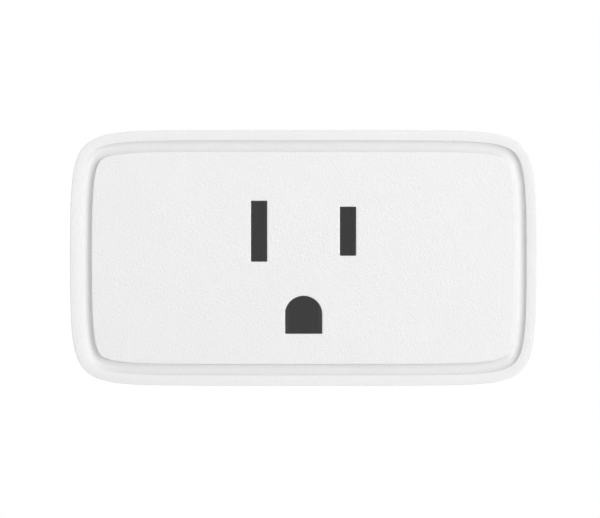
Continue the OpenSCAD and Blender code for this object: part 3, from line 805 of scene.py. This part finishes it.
# A node group with number inputs and outputs; build works out the outputs from the inputs
def makeGroup(name, inputs, outputs, build):
    tree = bpy.data.node_groups.new(name, "ShaderNodeTree")
    graph = Graph(tree)
    for label, value in inputs.items():
        socket = tree.interface.new_socket(label, in_out="INPUT", socket_type="NodeSocketFloat")
        socket.default_value = value
    for label in outputs:
        tree.interface.new_socket(label, in_out="OUTPUT", socket_type="NodeSocketFloat")
    given = graph.add("NodeGroupInput").outputs
    results = build(graph, given)
    graph.add("NodeGroupOutput", dict(zip(outputs, results)))
    return tree


# Spark-eroded mould texture: a fine grain with a finer one on it, and slow drifts of tone,
# all turned askew so that the noise's own grid doesn't lie along a flat face
def buildMouldedGrain(graph, given):
    askew = {"Vector": graph.place(), "Rotation": (0.6, 0.45, 0.85)}
    place = graph.add("VectorRotate", askew, rotation_type="EULER_XYZ").outputs[0]
    rate = graph.math("DIVIDE", 1.0, given["Size"])
    coarse = graph.noise(place, rate, 2.0, 0.6)
    fine = graph.noise(place, graph.math("MULTIPLY", rate, 2.7), 1.0)
    height = graph.math("MULTIPLY_ADD", fine, 0.4, graph.math("MULTIPLY", coarse, 0.6))
    tone = graph.noise(place, given["Drift"], 3.0)
    return height, tone


# Streaks that rolling or drawing leaves: noise drawn out along the direction of work
def buildDrawnGrain(graph, given):
    source = graph.place()
    stretch = graph.add("CombineXYZ", {0: given["X"], 1: given["Y"], 2: given["Z"]}).outputs[0]
    place = graph.add("VectorMath", {0: source, 1: stretch}, operation="MULTIPLY").outputs[0]
    fine = graph.noise(place, 1.0, 3.0, 0.65)
    broad = graph.noise(place, 0.21, 2.0)
    height = graph.math("MULTIPLY_ADD", broad, 0.35, graph.math("MULTIPLY", fine, 0.65))
    return height, graph.noise(source, 0.35, 3.0)


oneBand = 0.318  # scale at which a wave texture repeats about once in each millimetre


# Glass cloth under a green mask: two crossing sets of threads, and tracks as a lighter tone
def buildLaminate(graph, given):
    place = graph.place()
    rate = graph.math("DIVIDE", oneBand, given["Size"])
    threads = [
        graph.add("TexWave", {"Vector": place, "Scale": rate, "Distortion": 0.4}, bands_direction=axis)
        for axis in ("X", "Z")
    ]
    height = graph.math("MAXIMUM", threads[0].outputs["Fac"], threads[1].outputs["Fac"])
    cells = graph.add("TexVoronoi", {"Vector": place, "Scale": 0.42, "Randomness": 0.75},
                      distance="MANHATTAN", feature="F1")
    tracks = graph.span(cells.outputs["Distance"], 0.44, 0.5, 0.0, 1.0)
    return height, tracks


# Wire wound in a layer: rounded bands along the coil, a turn every Size millimetres
def buildWinding(graph, given):
    place = graph.place()
    rate = graph.math("DIVIDE", oneBand, given["Size"])
    bands = graph.add("TexWave", {"Vector": place, "Scale": rate, "Distortion": 0.25,
                                  "Detail Scale": 0.5}, bands_direction="Y")
    height = graph.math("SQRT", bands.outputs["Fac"])
    return height, graph.noise(place, 0.9, 2.0)


# Faint signs of use: soft smudges, and short fine scratches lying two ways
def buildHandlingMarks(graph, given):
    smudge = graph.span(graph.noise(graph.place(), 0.16, 4.0, 0.6), 0.42, 0.72, 0.0, 1.0)
    ways = [graph.noise(graph.place(stretch), 1.0, 1.0)
            for stretch in ((0.35, 0.9, 7.0), (6.0, 0.8, 0.4))]
    scratches = [graph.span(way, 0.70, 0.76, 0.0, 1.0) for way in ways]
    scratch = graph.math("MAXIMUM", *scratches)
    smudge = graph.math("MULTIPLY", smudge, given["Smudges"])
    return graph.math("MULTIPLY_ADD", scratch, given["Scratches"], smudge), scratch


patterns = {
    "moulded": makeGroup("mouldedGrain", {"Size": 0.2, "Drift": 0.12}, ["Height", "Tone"], buildMouldedGrain),
    "drawn": makeGroup("drawnGrain", {"X": 9.0, "Y": 0.5, "Z": 9.0}, ["Height", "Tone"], buildDrawnGrain),
    "laminate": makeGroup("laminateCloth", {"Size": 0.6}, ["Height", "Tone"], buildLaminate),
    "wound": makeGroup("woundWire", {"Size": 0.22}, ["Height", "Tone"], buildWinding),
}
handlingMarks = makeGroup("handlingMarks", {"Smudges": 0.5, "Scratches": 0.5}, ["Marks", "Scratch"],
                          buildHandlingMarks)

inkColour = (0.3, 0.3, 0.31)

# Every finish: its pattern and the pattern's own values, its colour and the tone that it drifts
# to, the relief in millimetres, its roughness from clean to marked, its smudges and scratches,
# and the shader's own settings
finishes = {
    "white_housing": {
        "pattern": ("moulded", {"Size": 0.3, "Drift": 0.1}),
        "colour": (0.872, 0.872, 0.873),
        "tone": (0.855, 0.856, 0.858),
        "relief": 0.105,
        "rough": (0.4, 0.47),
        "marks": (0.2, 0.0),
        "paintedCreviceShade": (1.2, (0.64, 0.64, 0.645)),  # painted shade: the reach in millimetres of the ambient occlusion, and the colour painted deep inside
    },
    "white_button": {
        "pattern": ("moulded", {"Size": 0.16, "Drift": 0.2}),
        "colour": (0.87, 0.872, 0.876),
        "tone": (0.84, 0.845, 0.85),
        "relief": 0.006,
        "rough": (0.3, 0.42),
        "marks": (0.6, 0.25),
    },
    "clear_light_pipe": {
        "pattern": ("moulded", {"Size": 0.35, "Drift": 0.8}),
        "colour": (0.86, 0.88, 0.9),
        "tone": (0.8, 0.83, 0.86),
        "relief": 0.003,
        "rough": (0.16, 0.3),
        "marks": (0.4, 0.2),
        "shader": {"Transmission Weight": 0.3, "IOR": 1.49, "Coat Weight": 0.2},
    },
    "label_film": {
        "pattern": ("drawn", {"X": 0.4, "Y": 3.0, "Z": 11.0}),
        "colour": (0.6, 0.61, 0.62),
        "tone": (0.52, 0.53, 0.545),
        "relief": 0.002,
        "rough": (0.28, 0.42),
        "marks": (0.6, 0.3),
        "printed": (0.9, 0.1),  # how far in a plain printed frame lies, and half its width
        "shader": {"Metallic": 0.35, "Coat Weight": 0.3},
    },
    "dark_insulator": {
        "pattern": ("moulded", {"Size": 0.25, "Drift": 0.2}),
        "colour": (0.075, 0.076, 0.078),
        "tone": (0.066, 0.067, 0.069),
        "relief": 0.01,
        "rough": (0.5, 0.62),
        "marks": (0.3, 0.2),
        "paintedGlow": 0.044,  # painted glow: a little light of its own, so that the deep wells stay dark grey
    },
    "black_moulding": {
        "pattern": ("moulded", {"Size": 0.2, "Drift": 0.3}),
        "colour": (0.03, 0.03, 0.032),
        "tone": (0.022, 0.022, 0.024),
        "relief": 0.008,
        "rough": (0.42, 0.55),
        "marks": (0.4, 0.2),
    },
    "relay_case": {
        "pattern": ("moulded", {"Size": 0.3, "Drift": 0.2}),
        "colour": (0.025, 0.06, 0.16),
        "tone": (0.02, 0.05, 0.135),
        "relief": 0.006,
        "rough": (0.25, 0.4),
        "marks": (0.5, 0.3),
    },
    "bobbin_moulding": {
        "pattern": ("moulded", {"Size": 0.25, "Drift": 0.4}),
        "colour": (0.75, 0.72, 0.62),
        "tone": (0.69, 0.65, 0.53),
        "relief": 0.006,
        "rough": (0.4, 0.5),
        "marks": (0.2, 0.1),
    },
    "steel_screw": {
        "pattern": ("drawn", {"X": 5.0, "Y": 5.0, "Z": 5.0}),
        "colour": (0.62, 0.62, 0.63),
        "tone": (0.5, 0.5, 0.52),
        "relief": 0.008,
        "rough": (0.24, 0.42),
        "marks": (0.5, 0.6),
        "shader": {"Metallic": 1.0},
    },
    "plated_blade": {
        "pattern": ("drawn", {"X": 14.0, "Y": 0.45, "Z": 14.0}),
        "colour": (0.7, 0.685, 0.65),
        "tone": (0.56, 0.53, 0.47),
        "relief": 0.004,
        "rough": (0.2, 0.36),
        "marks": (0.7, 0.5),
        "rubbed": (7.5, 16.5),  # where along y rubbing starts to show, and where it is full
        "shader": {"Metallic": 1.0},
    },
    "contact_bronze": {
        "pattern": ("drawn", {"X": 9.0, "Y": 0.6, "Z": 9.0}),
        "colour": (0.34, 0.31, 0.265),
        "tone": (0.27, 0.235, 0.19),
        "relief": 0.004,
        "rough": (0.3, 0.45),
        "marks": (0.5, 0.4),
        # painted glow, so that the contacts deep in the wells show dark bronze instead of black
        "paintedGlow": 0.032,
        "shader": {"Metallic": 1.0},
    },
    "copper_strap": {
        "pattern": ("drawn", {"X": 0.6, "Y": 9.0, "Z": 9.0}),
        "colour": (0.78, 0.42, 0.26),
        "tone": (0.58, 0.27, 0.15),
        "relief": 0.004,
        "rough": (0.28, 0.45),
        "marks": (0.6, 0.4),
        "shader": {"Metallic": 1.0},
    },
    "spring_bronze": {
        "pattern": ("drawn", {"X": 9.0, "Y": 0.7, "Z": 9.0}),
        "colour": (0.74, 0.53, 0.28),
        "tone": (0.64, 0.42, 0.2),
        "relief": 0.003,
        "rough": (0.22, 0.35),
        "marks": (0.4, 0.3),
        "shader": {"Metallic": 1.0},
    },
    "relay_iron": {
        "pattern": ("drawn", {"X": 4.0, "Y": 4.0, "Z": 1.5}),
        "colour": (0.42, 0.42, 0.42),
        "tone": (0.33, 0.33, 0.34),
        "relief": 0.008,
        "rough": (0.38, 0.5),
        "marks": (0.4, 0.3),
        "shader": {"Metallic": 0.9},
    },
    "silver_contact": {
        "pattern": ("drawn", {"X": 6.0, "Y": 6.0, "Z": 6.0}),
        "colour": (0.82, 0.81, 0.78),
        "tone": (0.7, 0.68, 0.62),
        "relief": 0.004,
        "rough": (0.15, 0.3),
        "marks": (0.4, 0.3),
        "shader": {"Metallic": 1.0},
    },
    "tinned_lead": {
        "pattern": ("drawn", {"X": 6.0, "Y": 1.0, "Z": 6.0}),
        "colour": (0.74, 0.74, 0.72),
        "tone": (0.63, 0.63, 0.61),
        "relief": 0.006,
        "rough": (0.22, 0.38),
        "marks": (0.3, 0.2),
        "shader": {"Metallic": 1.0},
    },
    "gold_pin": {
        "pattern": ("drawn", {"X": 6.0, "Y": 1.0, "Z": 6.0}),
        "colour": (0.86, 0.66, 0.28),
        "tone": (0.78, 0.56, 0.2),
        "relief": 0.002,
        "rough": (0.15, 0.28),
        "marks": (0.3, 0.2),
        "shader": {"Metallic": 1.0},
    },
    "shield_tin": {
        "pattern": ("drawn", {"X": 5.0, "Y": 0.8, "Z": 0.8}),
        "colour": (0.7, 0.7, 0.69),
        "tone": (0.6, 0.6, 0.6),
        "relief": 0.003,
        "rough": (0.22, 0.36),
        "marks": (0.5, 0.3),
        "shader": {"Metallic": 1.0},
    },
    "board_laminate": {
        "pattern": ("laminate", {"Size": 0.6}),
        "colour": (0.025, 0.12, 0.05),
        "tone": (0.04, 0.19, 0.08),
        "relief": 0.012,
        "rough": (0.22, 0.36),
        "marks": (0.4, 0.2),
        "shader": {"Coat Weight": 0.3},
    },
    "enamelled_winding": {
        "pattern": ("wound", {"Size": 0.22}),
        "colour": (0.42, 0.14, 0.05),
        "tone": (0.3, 0.08, 0.03),
        "relief": 0.09,
        "rough": (0.22, 0.34),
        "marks": (0.3, 0.1),
        "shader": {"Metallic": 0.75, "Coat Weight": 0.5},
    },
    "resistor_coat": {
        "pattern": ("moulded", {"Size": 0.3, "Drift": 0.9}),
        "colour": (0.2, 0.26, 0.16),
        "tone": (0.16, 0.21, 0.12),
        "relief": 0.02,
        "rough": (0.55, 0.7),
        "marks": (0.3, 0.1),
    },
    "varistor_coat": {
        "pattern": ("moulded", {"Size": 0.8, "Drift": 0.5}),
        "colour": (0.03, 0.09, 0.3),
        "tone": (0.022, 0.07, 0.24),
        "relief": 0.03,
        "rough": (0.25, 0.4),
        "marks": (0.3, 0.1),
    },
    "film_capacitor_case": {
        "pattern": ("moulded", {"Size": 0.3, "Drift": 0.4}),
        "colour": (0.75, 0.5, 0.06),
        "tone": (0.68, 0.43, 0.045),
        "relief": 0.008,
        "rough": (0.3, 0.42),
        "marks": (0.4, 0.2),
    },
    "chip_resin": {
        "pattern": ("moulded", {"Size": 0.12, "Drift": 0.5}),
        "colour": (0.035, 0.035, 0.037),
        "tone": (0.026, 0.026, 0.028),
        "relief": 0.006,
        "rough": (0.45, 0.58),
        "marks": (0.3, 0.2),
    },
    "capacitor_sleeve": {
        "pattern": ("moulded", {"Size": 0.6, "Drift": 0.3}),
        "colour": (0.025, 0.03, 0.05),
        "tone": (0.02, 0.024, 0.038),
        "relief": 0.006,
        "rough": (0.22, 0.36),
        "marks": (0.4, 0.2),
    },
    "ferrite": {
        "pattern": ("moulded", {"Size": 0.15, "Drift": 0.8}),
        "colour": (0.06, 0.058, 0.056),
        "tone": (0.04, 0.039, 0.038),
        "relief": 0.015,
        "rough": (0.5, 0.65),
        "marks": (0.2, 0.2),
    },
    "chip_ceramic": {
        "pattern": ("moulded", {"Size": 0.1, "Drift": 1.2}),
        "colour": (0.42, 0.33, 0.22),
        "tone": (0.34, 0.26, 0.16),
        "relief": 0.005,
        "rough": (0.35, 0.5),
        "marks": (0.2, 0.1),
    },
    "led_lens": {
        "pattern": ("moulded", {"Size": 0.2, "Drift": 1.0}),
        "colour": (0.85, 0.86, 0.8),
        "tone": (0.78, 0.79, 0.68),
        "relief": 0.003,
        "rough": (0.15, 0.25),
        "marks": (0.2, 0.1),
        "shader": {"Coat Weight": 0.4},
    },
}


# Where a plain frame is printed on the label: a band at a set way in from its four sides
def printedFrame(graph, inset, halfLine):
    middle = (labelLow + labelHigh) / 2
    half = (labelHigh - labelLow) / 2 - inset
    part = graph.add("SeparateXYZ", {0: graph.place()}).outputs
    across = graph.math("ABSOLUTE", graph.math("SUBTRACT", part[0], middle[0]))
    up = graph.math("ABSOLUTE", graph.math("SUBTRACT", part[2], middle[2]))
    out = graph.math("MAXIMUM", graph.math("SUBTRACT", across, half[0]), graph.math("SUBTRACT", up, half[2]))
    return graph.math("LESS_THAN", graph.math("ABSOLUTE", out), halfLine)


def colourOf(values):
    return (*values, 1.0)


handling = {
    "wearShare": 0.35,  # how much of a change of tone is wear; the rest is drift
    "scratchDepth": 0.4,  # as a share of the relief
}


# One finish as a material; the colour moves to its tone with drift and wear, then takes painted shade in
# crevices from ambient occlusion, or takes the printed line
def makeFinish(slotName, look):
    material = bpy.data.materials.new(slotName)
    material.use_nodes = True
    graph = Graph(material.node_tree)
    shader = material.node_tree.nodes["Principled BSDF"]
    kind, values = look["pattern"]
    pattern = graph.add("Group", values, node_tree=patterns[kind]).outputs
    smudges, scratches = look["marks"]
    marks = graph.add("Group", {"Smudges": smudges, "Scratches": scratches}, node_tree=handlingMarks).outputs
    drift = graph.span(pattern["Tone"], 0.3, 0.7, 0.0, 1.0)
    wear = marks["Marks"]
    if "rubbed" in look:
        low, high = look["rubbed"]
        along = graph.add("SeparateXYZ", {0: graph.place()}).outputs[1]
        reach = graph.span(along, low, high, 0.0, 1.0)
        streak = graph.span(pattern["Height"], 0.46, 0.56, 0.0, 1.0)
        wear = graph.math("MAXIMUM", wear, graph.math("MULTIPLY", reach, streak))
    share = handling["wearShare"]
    blend = graph.math("MULTIPLY_ADD", wear, share, graph.math("MULTIPLY", drift, 1 - share))
    colour = graph.mix(blend, colourOf(look["colour"]), colourOf(look["tone"]))
    # Painted shade: ambient occlusion darkens the colour in grooves, seams and openings, standing in for the
    # shade that falls there
    if "paintedCreviceShade" in look:
        reach, shade = look["paintedCreviceShade"]
        near = graph.add("AmbientOcclusion", {"Distance": reach * mm}, only_local=True, samples=8)
        colour = graph.mix(near.outputs["AO"], colourOf(shade), colour)
    if "printed" in look:
        colour = graph.mix(printedFrame(graph, *look["printed"]), colour, colourOf(inkColour))
    rough = graph.span(wear, 0.0, 1.0, *look["rough"])
    depth = -handling["scratchDepth"] * scratches
    height = graph.math("MULTIPLY_ADD", marks["Scratch"], depth, pattern["Height"])
    bump = graph.add("Bump", {"Height": height, "Distance": look["relief"] * mm})
    links = material.node_tree.links
    links.new(colour, shader.inputs["Base Color"])
    links.new(rough, shader.inputs["Roughness"])
    links.new(bump.outputs[0], shader.inputs["Normal"])
    # Painted glow: a constant white emission that lifts parts seen only in the shade of deep wells
    if "paintedGlow" in look:
        shader.inputs["Emission Color"].default_value = (1, 1, 1, 1)
        shader.inputs["Emission Strength"].default_value = look["paintedGlow"]
    for name, value in look.get("shader", {}).items():
        shader.inputs[name].default_value = value
    return material


materials = {slotName: makeFinish(slotName, look) for slotName, look in finishes.items()}


# Puts a finish in every slot of a piece, or in a new one where it has none
def paint(piece, material):
    if not piece.material_slots:
        piece.data.materials.append(material)
    for place in piece.material_slots:
        place.material = material


for node, slotName in slotOf.items():
    paint(nodes[node], materials[slotName])
for piece, body, slotName, node in made:
    paint(piece, materials[slotName])
print("finishes:", len(materials))

studio = {
    "cameraWidth": 0.0857,
    "cameraPlace": (-0.0005, -0.5, -0.00017),
    "keyFrom": (0.24, -0.36, 0.05),
    "keyPower": 7.5,
    "keySize": 0.5,
    "fillFrom": (-0.6, -0.8, 0.35),
    "fillPower": 0.2,
    "fillSize": 0.8,
    "topFrom": (0.1, -0.45, 1.0),
    "topPower": 1.3,
    "backFrom": (-0.8, 0.6, 0.25),
    "backPower": 1.5,
    "distance": 1.2,
    "roomLight": 0.477,  # how bright the room is, and how much brighter to the right and above
    "roomRight": 0.465,
    "roomAbove": 0.06,
    "roomBehind": 0.55,  # the white backdrop behind the object
    "floorHalf": 1.6,
    "floorGap": 0.00002,
    "paperTones": ((0.8, 0.8, 0.8), (0.84, 0.84, 0.84)),
}


# A round area light at the studio's distance in some direction, turned to the object
def addLight(name, direction, power, size):
    lamp = bpy.data.lights.new(name, "AREA")
    lamp.shape = "DISK"
    lamp.energy = power
    lamp.size = size
    light = bpy.data.objects.new(name, lamp)
    bpy.context.scene.collection.objects.link(light)
    way = Vector(direction).normalized()
    light.location = way * studio["distance"]
    light.rotation_euler = way.to_track_quat("Z", "Y").to_euler()
    light.visible_camera = False


# A room that is brighter to the right, above and behind, but plain white to the camera
def addRoom():
    world = bpy.data.worlds.new("softRoom")
    bpy.context.scene.world = world
    world.use_nodes = True
    graph = Graph(world.node_tree)
    backdrop = world.node_tree.nodes["Background"]
    seen = graph.add("LightPath").outputs["Is Camera Ray"]
    way = graph.add("SeparateXYZ", {0: graph.add("TexCoord").outputs["Generated"]}).outputs
    room = graph.math("MULTIPLY_ADD", way[0], studio["roomRight"], studio["roomLight"])
    room = graph.math("MULTIPLY_ADD", way[2], studio["roomAbove"], room)
    behind = graph.math("MAXIMUM", way[1], 0.0)
    room = graph.math("MULTIPLY_ADD", behind, studio["roomBehind"], room)
    strength = graph.span(seen, 0.0, 1.0, room, 1.0)
    world.node_tree.links.new(strength, backdrop.inputs["Strength"])
    backdrop.inputs["Color"].default_value = (1, 1, 1, 1)


# A pale paper floor just under the object
def addFloor():
    half = studio["floorHalf"]
    level = coverLow[2] * mm - studio["floorGap"]
    mesh = bpy.data.meshes.new("floor")
    corners = [(-half, -half, level), (half, -half, level), (half, half, level), (-half, half, level)]
    mesh.from_pydata(corners, [], [(0, 1, 2, 3)])
    floor = bpy.data.objects.new("floor", mesh)
    bpy.context.scene.collection.objects.link(floor)
    paper = bpy.data.materials.new("palePaper")
    paper.use_nodes = True
    graph = Graph(paper.node_tree)
    shader = paper.node_tree.nodes["Principled BSDF"]
    darker, lighter = studio["paperTones"]
    tone = graph.mix(graph.noise(graph.place(), 0.02, 3.0), colourOf(darker), colourOf(lighter))
    paper.node_tree.links.new(tone, shader.inputs["Base Color"])
    shader.inputs["Roughness"].default_value = 0.7
    mesh.materials.append(paper)


# A straight view of the front without perspective
def addCamera():
    lens = bpy.data.cameras.new("camera")
    lens.type = "ORTHO"
    lens.ortho_scale = studio["cameraWidth"]
    lens.clip_start = 0.001
    camera = bpy.data.objects.new("camera", lens)
    bpy.context.scene.collection.objects.link(camera)
    camera.location = studio["cameraPlace"]
    camera.rotation_euler = (np.pi / 2, 0, 0)
    bpy.context.scene.camera = camera
    bpy.context.scene.view_settings.view_transform = "Standard"


addLight("keyLight", studio["keyFrom"], studio["keyPower"], studio["keySize"])
addLight("fillLight", studio["fillFrom"], studio["fillPower"], studio["fillSize"])
addLight("topLight", studio["topFrom"], studio["topPower"], studio["fillSize"])
addLight("backLight", studio["backFrom"], studio["backPower"], studio["fillSize"])
addRoom()
addFloor()
addCamera()
print("studio ready")
